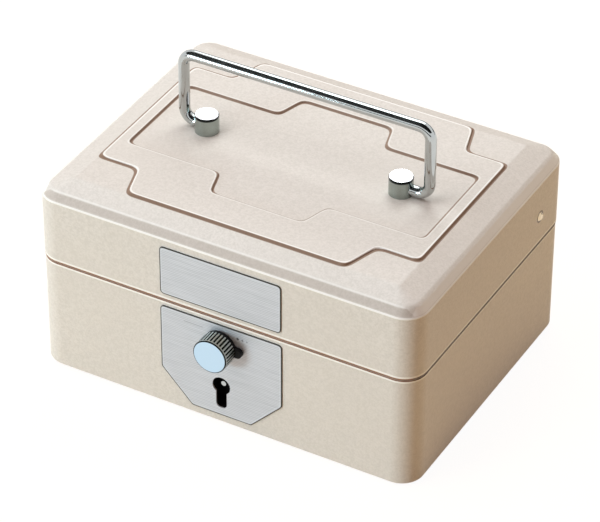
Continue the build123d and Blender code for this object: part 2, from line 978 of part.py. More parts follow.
case_half = lock_case_width / 2
case_bottom = pad_thickness + lock_case_bottom
case_top = pad_thickness + lock_case_top
case_back = backing_inner - lock_case_depth
case_inner_back = case_back + lock_wall
bolt_centre = (cam_front + cam_back) / 2
bolt_front = bolt_centre + bolt_thickness / 2
stem_top = knob_level - cam_hub_radius - bolt_cam_gap
body_top = case_top - lock_wall - bolt_travel - bolt_fit
with BuildPart() as lock_case:
    block((-case_half, -backing_inner, case_bottom), (case_half, -case_back, case_top))
    block(
        (lock_wall - case_half, -backing_inner - overrun, case_bottom + lock_wall),
        (case_half - lock_wall, -case_inner_back, case_top - lock_wall),
        mode=Mode.SUBTRACT,
    )
    block(
        (-bolt_stem_width / 2 - bolt_fit, -bolt_front - bolt_fit, case_top - lock_wall - overrun),
        (bolt_stem_width / 2 + bolt_fit, bolt_thickness - bolt_front + bolt_fit, case_top + overrun),
        mode=Mode.SUBTRACT,
    )
    for x, z in lug_places:
        block(
            (x - lug_width / 2, -backing_inner, z - lug_height / 2),
            (x + lug_width / 2, lock_wall - backing_inner, z + lug_height / 2),
        )
    front_bores(lug_places, lug_screw_radius, backing_inner + overrun, backing_inner - lock_wall - overrun)
    front_bores([(0, keyhole_level)], drill_pin_radius, case_inner_back + overrun, case_back - overrun)
finish(lock_case, "lock_case")

with BuildPart() as lock_case_screws:
    for x, z in lug_places:
        rod((x, -base_inner_face, z), (x, lock_wall - backing_inner, z), lug_screw_radius)
        rod(
            (x, lock_wall - backing_inner, z),
            (x, lock_wall + lug_screw_head_height - backing_inner, z),
            lug_screw_head_radius,
        )
finish(lock_case_screws, "lock_case_screws")

with BuildPart() as drill_pin:
    rod(
        (0, -case_back, keyhole_level),
        (0, drill_pin_setback - plate_front, keyhole_level),
        drill_pin_radius,
    )
    rod((0, -case_back, keyhole_level), (0, lock_wall - case_back, keyhole_level), 2 * drill_pin_radius)
finish(drill_pin, "drill_pin")

with BuildPart() as lock_bolt:
    block(
        (-bolt_width / 2, -bolt_front, body_top - bolt_body_height),
        (bolt_width / 2, bolt_thickness - bolt_front, body_top),
    )
    block(
        (-bolt_stem_width / 2, -bolt_front, body_top - bolt_body_height),
        (bolt_stem_width / 2, bolt_thickness - bolt_front, stem_top),
    )
    block(
        (bolt_width / 2 - bolt_leg_width, -bolt_front, body_top - bolt_body_height - bolt_leg_drop),
        (bolt_width / 2, bolt_thickness - bolt_front, body_top),
    )
    talon_level = keyhole_level - bolt_travel / 2
    block(
        (
            bolt_width / 2 - bolt_leg_width - overrun,
            -bolt_front - overrun,
            talon_level - talon_height / 2,
        ),
        (
            bolt_width / 2 - bolt_leg_width + talon_depth,
            bolt_thickness - bolt_front + overrun,
            talon_level + talon_height / 2,
        ),
        mode=Mode.SUBTRACT,
    )
finish(lock_bolt, "lock_bolt")

spring_x = lock_wall - case_half + bolt_spring_thickness / 2
spring_touch_x = -bolt_width / 2 - bolt_fit - bolt_spring_thickness / 2
spring_foot = case_bottom + lock_wall + bolt_fit
spring_tip = case_top - lock_wall - bolt_spring_thickness
spring_peak = body_top - bolt_body_height / 2
with BuildPart() as bolt_spring:
    with BuildSketch(upright(-bolt_centre - bolt_spring_width / 2)):
        with BuildLine():
            Line((spring_x, spring_foot), (spring_x, 2 * spring_peak - spring_tip))
            ThreePointArc(
                (spring_x, 2 * spring_peak - spring_tip),
                (spring_touch_x, spring_peak),
                (spring_x, spring_tip),
            )
        trace(line_width=bolt_spring_thickness)
    extrude(amount=-bolt_spring_width)
    block(
        (-case_half, -bolt_centre - bolt_spring_width, case_bottom),
        (lock_wall - case_half, bolt_spring_width - bolt_centre, case_top),
        mode=Mode.SUBTRACT,
    )
finish(bolt_spring, "bolt_spring")


# Tray, dividers and ledges

tray_inner_half = tray_half_width - tray_wall
tray_floor = tray_bottom + tray_wall
lane_split_y = tray_front_y + tray_wall + front_lane_depth
rear_lane_front = lane_split_y + tray_wall
rear_lane_back = tray_rear_y - tray_wall
rear_lane_y = (rear_lane_front + rear_lane_back) / 2
front_split_x = -tray_inner_half + 2 * tray_inner_half * front_lane_split_share
divider_pitch = 2 * tray_inner_half / (divider_count + 1)
divider_places = [divider_pitch * (number - (divider_count - 1) / 2) for number in range(divider_count)]
pockets = (
    (-tray_inner_half, front_split_x - tray_wall / 2, tray_front_y + tray_wall, lane_split_y),
    (front_split_x + tray_wall / 2, tray_inner_half, tray_front_y + tray_wall, lane_split_y),
    (-tray_inner_half, tray_inner_half, rear_lane_front, rear_lane_back),
)
guide_shift = divider_thickness / 2 + divider_fit
with BuildPart() as tray_pockets:
    for left, right, front, back in pockets:
        with BuildSketch(Plane.XY.offset(tray_floor)) as pocket:
            with Locations(((left + right) / 2, (front + back) / 2)):
                RectangleRounded(right - left, back - front, tray_pocket_radius)
        extrude(pocket.sketch, amount=tray_height)
with BuildPart() as tray:
    with BuildSketch(Plane.XY.offset(tray_bottom)) as tray_outline:
        with Locations((0, tray_centre_y)):
            RectangleRounded(2 * tray_half_width, tray_depth, tray_corner_radius)
    extrude(tray_outline.sketch, amount=tray_height)
    chamfer(level_edges(tray, tray_bottom), length=tray_foot_edge)
    add(tray_pockets.part, mode=Mode.SUBTRACT)
    rod(
        (-tray_half_width - overrun, tray_centre_y, tray_top + grip_rise),
        (tray_half_width + overrun, tray_centre_y, tray_top + grip_rise),
        grip_radius,
        mode=Mode.SUBTRACT,
    )
    for x in divider_places:
        for side in (-1, 1):
            guide_x = x + side * (guide_shift + guide_rib_width / 2)
            for wall_y, inward in ((rear_lane_front, 1), (rear_lane_back, -1)):
                low, high = sorted((wall_y - inward * near, wall_y + inward * guide_rib_depth))
                block(
                    (guide_x - guide_rib_width / 2, low, tray_floor - near),
                    (guide_x + guide_rib_width / 2, high, tray_top - divider_drop),
                )
finish(tray, "tray")

with BuildPart() as tray_dividers:
    for x in divider_places:
        with BuildSketch(sideways(x - divider_thickness / 2)) as divider_outline:
            with Locations((rear_lane_y, (tray_floor + tray_top - divider_drop) / 2)):
                Rectangle(
                    rear_lane_back - rear_lane_front - 2 * divider_fit,
                    tray_top - divider_drop - tray_floor,
                )
            with Locations((rear_lane_y, tray_top - divider_drop + divider_notch_rise)):
                Circle(divider_notch_radius, mode=Mode.SUBTRACT)
        extrude(divider_outline.sketch, amount=divider_thickness)
finish(tray_dividers, "tray_dividers")

with BuildPart() as tray_rests:
    for side in (-1, 1):
        wall_x = side * (base_half_width - sheet)
        for reach, top_drop in ((ledge_thickness, ledge_height), (ledge_reach, ledge_thickness)):
            low, high = sorted((wall_x, wall_x - side * reach))
            block(
                (low, tray_centre_y - ledge_length / 2, tray_bottom - top_drop),
                (high, tray_centre_y + ledge_length / 2, tray_bottom),
            )
finish(tray_rests, "tray_rests")


# Pad under the base

with BuildPart() as base_pad:
    slab(case_width - 2 * pad_inset, case_depth - 2 * pad_inset, pad_corner_radius, 0, pad_thickness)
finish(base_pad, "base_pad")
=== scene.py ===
from math import radians

import bmesh
import bpy
from mathutils import Euler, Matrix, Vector


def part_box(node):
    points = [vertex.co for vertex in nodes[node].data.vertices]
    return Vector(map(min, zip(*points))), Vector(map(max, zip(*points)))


MM = 0.001

# The case as its solids have it: half its size in plan, its corner radius, and its edges and folds
HALF_WIDTH = 92 * MM
HALF_DEPTH = 70 * MM
CORNER = 10.5 * MM
BASE_EDGE = 56.2 * MM
LID_EDGE = 56.6 * MM
SKIRT_EDGE = 88 * MM
KNEE = 91.9 * MM
KNEE_INSET = 3.4 * MM
ROOF = 95.3 * MM

# The emboss on the lid in mm: half sizes of the raised field and the sunk panel, and their slanted sides
FIELD_HALF = (77.35, 57.75)
NOTCH_HALF_DEPTH = 40.2
NOTCH_SLANT = ((57.8, 40.2), (52.4, 58.1))
PANEL_HALF = (71.65, 25.56)
TAB_HALF_DEPTH = 40.0
TAB_SLANT = ((26.2, 25.56), (22.1, 40.0))
EMBOSS_EASE = 5.2 * MM

# The two plates on the front
NAME_PLATE_HALF = (29.2 * MM, 12.1 * MM)
NAME_PLATE_LEVEL = 72.4 * MM
LOCK_PLATE_HALF_WIDTH = 29.5 * MM
LOCK_PLATE_TOP = 53.7 * MM
LOCK_PLATE_FOOT = 5.5 * MM
LOCK_PLATE_FOOT_HALF = 14.5 * MM
PLATE_EASE = 2.5 * MM
FOOT_EASE = 1.0 * MM

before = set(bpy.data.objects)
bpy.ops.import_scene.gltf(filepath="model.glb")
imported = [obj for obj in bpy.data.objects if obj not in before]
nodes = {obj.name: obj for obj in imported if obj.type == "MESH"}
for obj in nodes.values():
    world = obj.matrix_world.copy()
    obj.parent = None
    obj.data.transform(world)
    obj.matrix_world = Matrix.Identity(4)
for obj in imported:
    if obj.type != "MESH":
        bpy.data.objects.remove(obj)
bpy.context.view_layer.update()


# Shader maths as plain expressions

class Value:
    """A socket's value, which can stand in sums."""

    def __init__(self, finish, socket):
        self.finish = finish
        self.socket = socket

    def combine(self, operation, first, second):
        return self.finish.node("ShaderNodeMath", {"operation": operation}, {0: first, 1: second})

    def __add__(self, other):
        return self.combine("ADD", self, other)

    def __radd__(self, other):
        return self.combine("ADD", other, self)

    def __sub__(self, other):
        return self.combine("SUBTRACT", self, other)

    def __rsub__(self, other):
        return self.combine("SUBTRACT", other, self)

    def __mul__(self, other):
        return self.combine("MULTIPLY", self, other)

    def __rmul__(self, other):
        return self.combine("MULTIPLY", other, self)


class Finish:
    """One material and the nodes that it is made of."""

    def __init__(self, name, **constants):
        self.material = bpy.data.materials.new(name)
        self.material.use_nodes = True
        self.tree = self.material.node_tree
        self.tree.nodes.clear()
        self.shader = self.tree.nodes.new("ShaderNodeBsdfPrincipled")
        output = self.tree.nodes.new("ShaderNodeOutputMaterial")
        self.tree.links.new(self.shader.outputs[0], output.inputs["Surface"])
        for socket, constant in constants.items():
            self.set(self.shader, socket.replace("_", " "), constant)
        self.place = self.node("ShaderNodeTexCoord", output="Object")
        self.x, self.y, self.z = (
            self.node("ShaderNodeSeparateXYZ", {}, {0: self.place}, axis) for axis in "XYZ"
        )

    def set(self, node, socket, value):
        """Link or write one socket."""
        target = node.inputs[socket]
        if isinstance(value, Value):
            self.tree.links.new(value.socket, target)
        elif isinstance(value, tuple) and len(value) == 3 and target.type == "RGBA":
            target.default_value = (*value, 1)
        else:
            target.default_value = value

    def node(self, kind, settings=None, inputs=None, output=0):
        """Any node, from its type, its settings, its sockets' values or links and the output to use."""
        made = self.tree.nodes.new(kind)
        for name, setting in (settings or {}).items():
            setattr(made, name, setting)
        for socket, value in (inputs or {}).items():
            self.set(made, socket, value)
        return Value(self, made.outputs[output])

    def wear(self, socket, value):
        """Feed a socket of the shader."""
        self.set(self.shader, socket, value)

    def step(self, value, low, high):
        """0 below low and 1 above high, with a soft ramp between."""
        return self.node(
            "ShaderNodeMapRange",
            {"interpolation_type": "SMOOTHSTEP"},
            {"Value": value, "From Min": low, "From Max": high},
        )

    def size_of(self, value):
        """Distance from zero."""
        return self.node("ShaderNodeMath", {"operation": "ABSOLUTE"}, {0: value})

    def larger(self, first, second, blend=0.0):
        """The larger of two values, eased over a blend where they are near each other."""
        operation = "SMOOTH_MAX" if blend else "MAXIMUM"
        return self.node("ShaderNodeMath", {"operation": operation}, {0: first, 1: second, 2: blend})

    def smaller(self, first, second, blend=0.0):
        """The smaller of two values, eased over a blend where they are near each other."""
        operation = "SMOOTH_MIN" if blend else "MINIMUM"
        return self.node("ShaderNodeMath", {"operation": operation}, {0: first, 1: second, 2: blend})

    def distance(self, first, second):
        """Length of a flat offset."""
        return self.node(
            "ShaderNodeMath", {"operation": "SQRT"}, {0: first * first + second * second}
        )

    def mix(self, share, first, second):
        """Colour between two colours."""
        return self.node(
            "ShaderNodeMix", {"data_type": "RGBA"}, {"Factor": share, 6: first, 7: second}, 2
        )

    def scaled(self, x, y, z):
        """Place stretched along the axes, for patterns with a direction."""
        return self.node("ShaderNodeMapping", {}, {"Vector": self.place, "Scale": (x, y, z)})

    def noise(self, scale, detail=3.0, roughness=0.5, place=None):
        """Soft random pattern from 0 to 1, with scale blotches to the metre."""
        return self.node(
            "ShaderNodeTexNoise",
            {},
            {"Vector": place or self.place, "Scale": scale, "Detail": detail, "Roughness": roughness},
            "Fac",
        )

    def bump(self, height, depth, strength):
        """Surface direction of a fine relief, depth metres high where the height is 1."""
        return self.node(
            "ShaderNodeBump", {}, {"Height": height, "Distance": depth, "Strength": strength}
        )

    def sine(self, value):
        return self.node("ShaderNodeMath", {"operation": "SINE"}, {0: value})

    def band(self, value, middle, half, soft):
        """1 within half of a middle value."""
        return 1 - self.step(self.size_of(value - middle), half - soft, half + soft)


def linear(red, green, blue):
    """Scene colour of a colour as a screen shows it, each part from 0 to 255, by the sRGB curve."""
    parts = []
    for part in (red, green, blue):
        share = part / 255
        parts.append(share / 12.92 if share <= 0.04045 else ((share + 0.055) / 1.055) ** 2.4)
    return tuple(parts)


# Colours

PAINT_SHADE = linear(216, 210, 203)
PAINT_LIGHT = linear(229, 223, 217)
PAINT_CLOUD = linear(221, 214, 206)
# Painted highlight, and brown painted shade for the creases and the seam
PAINT_HIGHLIGHT = linear(252, 250, 246)
SHADE_BROWN = linear(122, 84, 52)
SEAM_SHADE_BROWN = linear(142, 86, 46)
SEAM_SHADE_DARK = linear(70, 48, 28)
PLATE_DULL = linear(182, 183, 186)
PLATE_BRIGHT = linear(210, 210, 213)
PLATE_LINE = linear(216, 220, 223)
PLATE_RIM = linear(66, 62, 58)
PLATE_PRINT = linear(40, 42, 44)
NICKEL_DULL = linear(178, 183, 183)
NICKEL_BRIGHT = linear(202, 206, 206)
RIVET_DULL = linear(206, 184, 152)
RIVET_BRIGHT = linear(228, 206, 174)
POST_DULL = linear(146, 156, 152)
POST_BRIGHT = linear(172, 181, 177)
POST_LINE = linear(46, 50, 50)
# Painted highlight on the posts' tops
POST_TOP_HIGHLIGHT = linear(250, 249, 252)
# Painted shade in the knob's grooves
KNOB_GROOVE_SHADE = linear(12, 13, 13)
KNOB_RIB = linear(214, 218, 214)
KNOB_CLOUD = linear(96, 104, 98)
KNOB_RIM = linear(34, 36, 36)
# Knob face, its blue tint a painted reflection
KNOB_FACE = linear(192, 213, 228)
ZINC_DULL = linear(160, 161, 158)
ZINC_BRIGHT = linear(196, 197, 192)
BLACKENED = linear(24, 24, 25)
BLACKENED_WORN = linear(44, 44, 45)
BRASS_DULL = linear(176, 142, 78)
BRASS_BRIGHT = linear(214, 184, 116)
MOULDING_BLACK = linear(9, 9, 10)
MOULDING_WORN = linear(20, 20, 22)
TRAY_SHADE = linear(92, 94, 98)
TRAY_LIGHT = linear(112, 114, 118)
TRAY_FLOW = linear(86, 88, 92)
RUBBER = linear(30, 30, 31)
RUBBER_WORN = linear(52, 52, 53)


# Finishes

def cream_enamel(name, shade_and_highlight):
    """Cream stove enamel with a fine pebbled grain, brown painted shade in the creases and at the seam,
    and pale painted highlights on the edges.
    """
    finish = Finish(name)
    grain = finish.noise(1150, detail=2.0, roughness=0.55)
    pebble = finish.noise(520, detail=2.0)
    cloud = finish.noise(14, detail=2.0)
    tone = finish.step(grain * 0.6 + pebble * 0.4, 0.34, 0.66)
    paint = finish.mix(tone, PAINT_SHADE, PAINT_LIGHT)
    paint = finish.mix(finish.step(cloud, 0.3, 0.7) * 0.35, paint, PAINT_CLOUD)
    painted_shade, seam_shade, painted_highlight = shade_and_highlight(finish)
    # The painted shade at the seam is darker near the sides of the case.
    flank = finish.step(finish.size_of(finish.x), HALF_WIDTH - 4 * MM, HALF_WIDTH - 1 * MM)
    cover = 0.95
    # Painted highlight first, then brown painted shade in the creases and at the seam.
    paint = finish.mix(painted_highlight * cover, paint, PAINT_HIGHLIGHT)
    paint = finish.mix(painted_shade * cover, paint, SHADE_BROWN)
    paint = finish.mix(seam_shade * cover, paint, finish.mix(flank, SEAM_SHADE_BROWN, SEAM_SHADE_DARK))
    finish.wear("Base Color", paint)
    finish.wear("Roughness", 0.4 + grain * 0.16)
    finish.wear("Normal", finish.bump(grain * 0.55 + pebble * 0.45, depth=0.14 * MM, strength=0.5))
    return finish.material


def near_outer_face(finish, value, face):
    """1 where a value is no further inside a face than half the sheet."""
    return finish.step(value, face - 0.55 * MM, face - 0.4 * MM)


def outside_only(finish):
    """1 on the outer faces of the walls, from how far a point lies from the middle of the case."""
    x, y = finish.size_of(finish.x), finish.size_of(finish.y)
    across = finish.distance(
        finish.larger(x - (HALF_WIDTH - CORNER), 0.0),
        finish.larger(y - (HALF_DEPTH - CORNER), 0.0),
    )
    walls = finish.larger(near_outer_face(finish, x, HALF_WIDTH), near_outer_face(finish, y, HALF_DEPTH))
    return finish.larger(walls, near_outer_face(finish, across, CORNER))


def highlight_line(finish, level):
    """Painted highlight: a thin pale line all round at a level, where a fold catches the light."""
    return finish.band(finish.z, level, half=0.42 * MM, soft=0.15 * MM)


def base_shade_and_highlight(finish):
    """Brown painted shade just under the parting line, with a pale painted highlight line below it."""
    shell = outside_only(finish)
    line = finish.step(finish.z, BASE_EDGE - 0.5 * MM, BASE_EDGE - 0.3 * MM)
    return 0.0, line * shell, highlight_line(finish, BASE_EDGE - 0.9 * MM) * shell


def slanted(finish, start, end):
    """Distance inside a slanted side of the emboss, in its first quarter, between two points in mm."""
    (x0, y0), (x1, y1) = start, end
    length = ((x1 - x0) ** 2 + (y1 - y0) ** 2) ** 0.5
    across, up = (y1 - y0) / length, (x1 - x0) / length
    x, y = finish.size_of(finish.x), finish.size_of(finish.y)
    return up * (y - y0 * MM) - across * (x - x0 * MM)


def inside_rectangle(finish, half):
    """Distance inside a rectangle from half its size in mm, eased at the corners."""
    x, y = finish.size_of(finish.x), finish.size_of(finish.y)
    return finish.smaller(half[0] * MM - x, half[1] * MM - y, EMBOSS_EASE)


def inside_field(finish):
    """Distance inside the raised field with its notched corners."""
    y = finish.size_of(finish.y)
    notch = finish.larger(NOTCH_HALF_DEPTH * MM - y, slanted(finish, *NOTCH_SLANT), EMBOSS_EASE)
    return finish.smaller(inside_rectangle(finish, FIELD_HALF), notch, EMBOSS_EASE)


def inside_panel(finish):
    """Distance inside the sunk panel with its two tabs."""
    y = finish.size_of(finish.y)
    tab = finish.smaller(TAB_HALF_DEPTH * MM - y, slanted(finish, *TAB_SLANT), EMBOSS_EASE)
    return finish.larger(inside_rectangle(finish, PANEL_HALF), tab, EMBOSS_EASE)


def emboss_shade_and_highlight(finish):
    """Brown painted shade line and pale painted highlight lip along both outlines of the emboss."""
    roof = finish.step(finish.z, ROOF - 0.4 * MM, ROOF - 0.2 * MM)
    field, panel = inside_field(finish), inside_panel(finish)
    field_shade = finish.band(field, middle=-0.2 * MM, half=0.64 * MM, soft=0.18 * MM)
    panel_shade = finish.band(panel, middle=0.15 * MM, half=0.54 * MM, soft=0.18 * MM)
    field_highlight = finish.band(field, middle=0.85 * MM, half=0.36 * MM, soft=0.16 * MM)
    panel_highlight = finish.band(panel, middle=-0.75 * MM, half=0.3 * MM, soft=0.16 * MM)
    field_share, panel_share, panel_highlight_share = 0.95, 0.9, 0.6
    painted_shade = finish.larger(field_shade * field_share, panel_shade * panel_share)
    return painted_shade * roof, finish.larger(field_highlight, panel_highlight * panel_highlight_share) * roof


def rivet_shadow_ring(finish):
    """Painted shadow: a dark ring round the rivet in each side of the lid."""
    low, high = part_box("lid_side_rivets")
    centre = (low + high) / 2
    radius = (high.z - low.z) / 2
    around = finish.distance(finish.y - centre.y, finish.z - centre.z)
    side = finish.step(finish.size_of(finish.x), HALF_WIDTH - 1 * MM, HALF_WIDTH - 0.5 * MM)
    return finish.band(around, radius + 0.3 * MM, half=0.5 * MM, soft=0.2 * MM) * side


def lid_shade_and_highlight(finish):
    """Brown painted shade along the emboss, tan painted shade on the steep band's front and a pale
    painted highlight on its sides, brown painted shade at the seam, and pale painted highlights as lips.
    """
    shell = outside_only(finish)
    painted_shade, painted_highlight = emboss_shade_and_highlight(finish)
    knee_front, knee_side = HALF_DEPTH - KNEE_INSET, HALF_WIDTH - KNEE_INSET
    front = finish.step(0 - finish.y, knee_front - 0.8 * MM, knee_front - 0.2 * MM)
    flank = finish.step(finish.size_of(finish.x), knee_side - 0.8 * MM, knee_side - 0.2 * MM)
    steep = finish.band(finish.z, (SKIRT_EDGE + KNEE) / 2 + 0.05 * MM, half=1.4 * MM, soft=0.4 * MM)
    tan_shade_share, pale_highlight_share, knee_highlight_share, rivet_shadow_share = 0.3, 0.8, 0.5, 0.75
    # Painted shade in tan on the front of the steep band.
    painted_shade = finish.larger(painted_shade, steep * front * tan_shade_share)
    # Painted highlights: pale lines on the folds and the knee, and pale sides of the steep band.
    edge_highlights = highlight_line(finish, LID_EDGE + 1.4 * MM) + highlight_line(finish, SKIRT_EDGE + 0.05 * MM)
    knee_highlight = finish.band(finish.z, KNEE - 0.2 * MM, half=0.3 * MM, soft=0.15 * MM) * front
    painted_highlight = finish.larger(painted_highlight, edge_highlights * shell + knee_highlight * knee_highlight_share)
    painted_highlight = finish.larger(painted_highlight, steep * flank * pale_highlight_share)
    # Painted shade along the lid's lower edge at the seam, and a painted shadow ring round each side
    # rivet.
    parting_shade = 1 - finish.step(finish.z, LID_EDGE + 0.65 * MM, LID_EDGE + 0.95 * MM)
    return painted_shade, finish.larger(parting_shade * shell, rivet_shadow_ring(finish) * rivet_shadow_share), painted_highlight


def no_shade_or_highlight(_finish):
    return 0.0, 0.0, 0.0


def dot(finish, x, z, radius):
    """1 on a small round mark on the front, from its place and radius in mm."""
    soft = 0.15
    return 1 - finish.step(
        finish.distance(finish.x - x * MM, finish.z - z * MM), (radius - soft) * MM, (radius + soft) * MM
    )


def no_marks(_finish):
    return 0.0


def setting_marks(finish):
    """Printed marks beside the knob: three smaller and smaller dots, and a short line on the left."""
    marks = 0.0
    for x, radius, strength in ((8.3, 0.6, 1.0), (10.6, 0.5, 0.7), (12.7, 0.42, 0.5)):
        marks = finish.larger(marks, dot(finish, x, 49.5, radius) * strength)
    line = finish.band(finish.x, -13.3 * MM, half=4.7 * MM, soft=0.3 * MM)
    line = line * finish.band(finish.z, 49.4 * MM, half=0.3 * MM, soft=0.15 * MM)
    return finish.larger(marks, line * 0.3)


def plate_metal(name, rim, marks):
    """Finely lined plate with a thin dark line round its rim."""
    finish = Finish(name, Metallic=0.6)
    brush = finish.noise(1.0, detail=3.0, roughness=0.6, place=finish.scaled(60, 900, 2600))
    sway = finish.noise(1.0, detail=2.0, place=finish.scaled(120, 300, 160))
    line_rate, line_sway = 7400, 5
    lines = finish.sine(finish.z * line_rate + sway * line_sway)
    tone = finish.step(brush * 0.6 + lines * 0.14 + 0.2, 0.28, 0.72)
    metal = finish.mix(tone, PLATE_DULL, PLATE_BRIGHT)
    edge = rim(finish)
    inner = finish.band(edge, 0.75 * MM, half=0.22 * MM, soft=0.12 * MM)
    metal = finish.mix(inner * 0.4, metal, PLATE_LINE)
    metal = finish.mix(1 - finish.step(edge, 0.3 * MM, 0.5 * MM), metal, PLATE_RIM)
    metal = finish.mix(marks(finish) * 0.8, metal, PLATE_PRINT)
    finish.wear("Base Color", metal)
    finish.wear("Roughness", 0.45 + brush * 0.12)
    finish.wear("Normal", finish.bump(brush + lines * 0.3, depth=0.02 * MM, strength=0.5))
    return finish.material


def name_plate_rim(finish):
    """Distance in from the edge of the name plate."""
    half_width, half_height = NAME_PLATE_HALF
    across = half_width - finish.size_of(finish.x)
    up = half_height - finish.size_of(finish.z - NAME_PLATE_LEVEL)
    return finish.smaller(across, up, PLATE_EASE)


def lock_plate_rim(finish):
    """Distance in from the edge of the lock plate, whose lower corners are cut away.

    The two slant values are the direction square to a cut corner.
    """
    slant_up, slant_across = 0.6931, 0.7209
    x = finish.size_of(finish.x)
    rise = finish.z - LOCK_PLATE_FOOT
    across = finish.smaller(LOCK_PLATE_HALF_WIDTH - x, LOCK_PLATE_TOP - finish.z, PLATE_EASE)
    slant = slant_up * rise - slant_across * (x - LOCK_PLATE_FOOT_HALF)
    return finish.smaller(across, finish.smaller(slant, rise, FOOT_EASE), FOOT_EASE)


def nickel(name):
    """Polished plate without its colour, and the smear on it."""
    finish = Finish(name, Metallic=1.0)
    finish.wear("Normal", finish.bump(finish.noise(700, detail=2.0), depth=0.01 * MM, strength=0.3))
    return finish, finish.noise(90, detail=3.0, roughness=0.6)


def bright_nickel(name, dull, bright):
    finish, smear = nickel(name)
    finish.wear("Base Color", finish.mix(smear, dull, bright))
    finish.wear("Roughness", 0.04 + smear * 0.06)
    return finish.material


def post_nickel():
    """Turned posts with a painted highlight on their tops, darker sides and a dark line below the top.
    """
    finish, smear = nickel("post_nickel")
    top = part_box("left_handle_post")[1].z
    side = finish.mix(smear, POST_DULL, POST_BRIGHT)
    line = finish.step(finish.z, top - 1.25 * MM, top - 1.0 * MM)
    side = finish.mix(line, side, POST_LINE)
    # Painted highlight on the top of each post.
    top_highlight = finish.step(finish.z, top - 0.25 * MM, top - 0.12 * MM)
    finish.wear("Base Color", finish.mix(top_highlight, side, POST_TOP_HIGHLIGHT))
    finish.wear("Roughness", 0.1 + smear * 0.08)
    return finish.material


def knob_metal():
    """Knob with a turned pale face whose blue tint is a painted reflection, a dark rim, and black
    painted shade in the grooves between its ribs.
    """
    finish = Finish("knob_metal", Metallic=1.0)
    low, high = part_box("knob")
    centre = (low + high) / 2
    radius = finish.distance(finish.x - centre.x, finish.z - centre.z)
    face = 1 - finish.step(finish.y, low.y + 0.05 * MM, low.y + 0.15 * MM)
    face = face * (1 - finish.step(radius, 7.4 * MM, 7.6 * MM))
    # Painted shade in black in the grooves between the ribs.
    side = finish.mix(finish.step(radius, 7.72 * MM, 7.9 * MM), KNOB_GROOVE_SHADE, KNOB_RIB)
    side = finish.mix(finish.noise(420, detail=2.0) * 0.3, side, KNOB_CLOUD)
    rim = 1 - finish.step(finish.y, low.y + 0.35 * MM, low.y + 0.6 * MM)
    side = finish.mix(rim, side, KNOB_RIM)
    # The face's pale blue tint is a painted reflection.
    finish.wear("Base Color", finish.mix(face, side, KNOB_FACE))
    finish.wear("Roughness", 0.32 + face * 0.1 + finish.noise(240) * 0.08)
    turning_rate = 21000
    turned = finish.sine(radius * turning_rate) * face
    finish.wear("Normal", finish.bump(turned, depth=0.004 * MM, strength=0.4))
    return finish.material


def grained(name, tones, grain, roughness, depth, strength=0.4, flow=None, **constants):
    """Plain finish, in which one grain sways the tone, the roughness and the surface.

    tones are two colours, grain a noise's scale, detail and roughness, roughness its base and sway,
    and flow a third colour that comes and goes in wide patches.
    """
    finish = Finish(name, **constants)
    noise = finish.noise(*grain)
    colour = finish.mix(noise, *tones)
    if flow:
        colour = finish.mix(finish.noise(18, detail=2.0) * 0.4, colour, flow)
    base, sway = roughness
    finish.wear("Base Color", colour)
    finish.wear("Roughness", base + noise * sway)
    finish.wear("Normal", finish.bump(noise, depth, strength))
    return finish.material


finishes = (
    (cream_enamel("base_enamel", base_shade_and_highlight), ["base_shell"]),
    (cream_enamel("lid_enamel", lid_shade_and_highlight), ["lid_shell"]),
    (
        cream_enamel("plain_enamel", no_shade_or_highlight),
        ["base_hinge_rivets", "lid_hinge_rivets", "tray_rests"],
    ),
    (bright_nickel("bright_nickel", NICKEL_DULL, NICKEL_BRIGHT), ["handle", "drill_pin"]),
    (bright_nickel("rivet_nickel", RIVET_DULL, RIVET_BRIGHT), ["lid_side_rivets"]),
    (post_nickel(), ["left_handle_post", "right_handle_post"]),
    (
        grained(
            "plated_steel", (ZINC_DULL, ZINC_BRIGHT), grain=(160, 4.0, 0.6), roughness=(0.3, 0.2),
            depth=0.04 * MM, Metallic=0.9,
        ),
        [
            "base_hinge_leaf", "lid_hinge_leaf", "hinge_pin", "strike_plate", "name_plate_nuts",
            "handle_washers", "lock_plate_nuts", "knob_spindle", "latch_cam", "cam_nut",
            "lock_case_screws", "bolt_spring",
        ],
    ),
    (
        grained(
            "dark_steel", (BLACKENED, BLACKENED_WORN), grain=(220, 3.0, 0.6), roughness=(0.45, 0.2),
            depth=0.03 * MM, Metallic=0.5,
        ),
        ["lock_backing", "lock_case"],
    ),
    (
        grained(
            "plain_brass", (BRASS_DULL, BRASS_BRIGHT), grain=(180, 4.0, 0.6), roughness=(0.28, 0.2),
            depth=0.03 * MM, Metallic=1.0,
        ),
        ["lock_bolt"],
    ),
    (
        grained(
            "tray_moulding", (TRAY_SHADE, TRAY_LIGHT), grain=(650, 3.0, 0.5), roughness=(0.5, 0.18),
            depth=0.08 * MM, strength=0.5, flow=TRAY_FLOW,
        ),
        ["tray", "tray_dividers"],
    ),
    (knob_metal(), ["knob"]),
    (
        grained(
            "black_moulding", (MOULDING_BLACK, MOULDING_WORN), grain=(900, 2.0, 0.5),
            roughness=(0.34, 0.2), depth=0.05 * MM, Specular_IOR_Level=0.15,
        ),
        ["knob_index"],
    ),
    (
        grained(
            "pad_rubber", (RUBBER, RUBBER_WORN), grain=(800, 3.0, 0.5), roughness=(0.75, 0.15),
            depth=0.08 * MM, strength=0.5,
        ),
        ["base_pad"],
    ),
    (plate_metal("name_plate_metal", name_plate_rim, no_marks), ["name_plate"]),
    (plate_metal("lock_plate_metal", lock_plate_rim, setting_marks), ["lock_plate"]),
)
for material, names in finishes:
    for name in names:
        mesh = nodes[name].data
        mesh.materials.clear()
        mesh.materials.append(material)


# Floor, light and camera

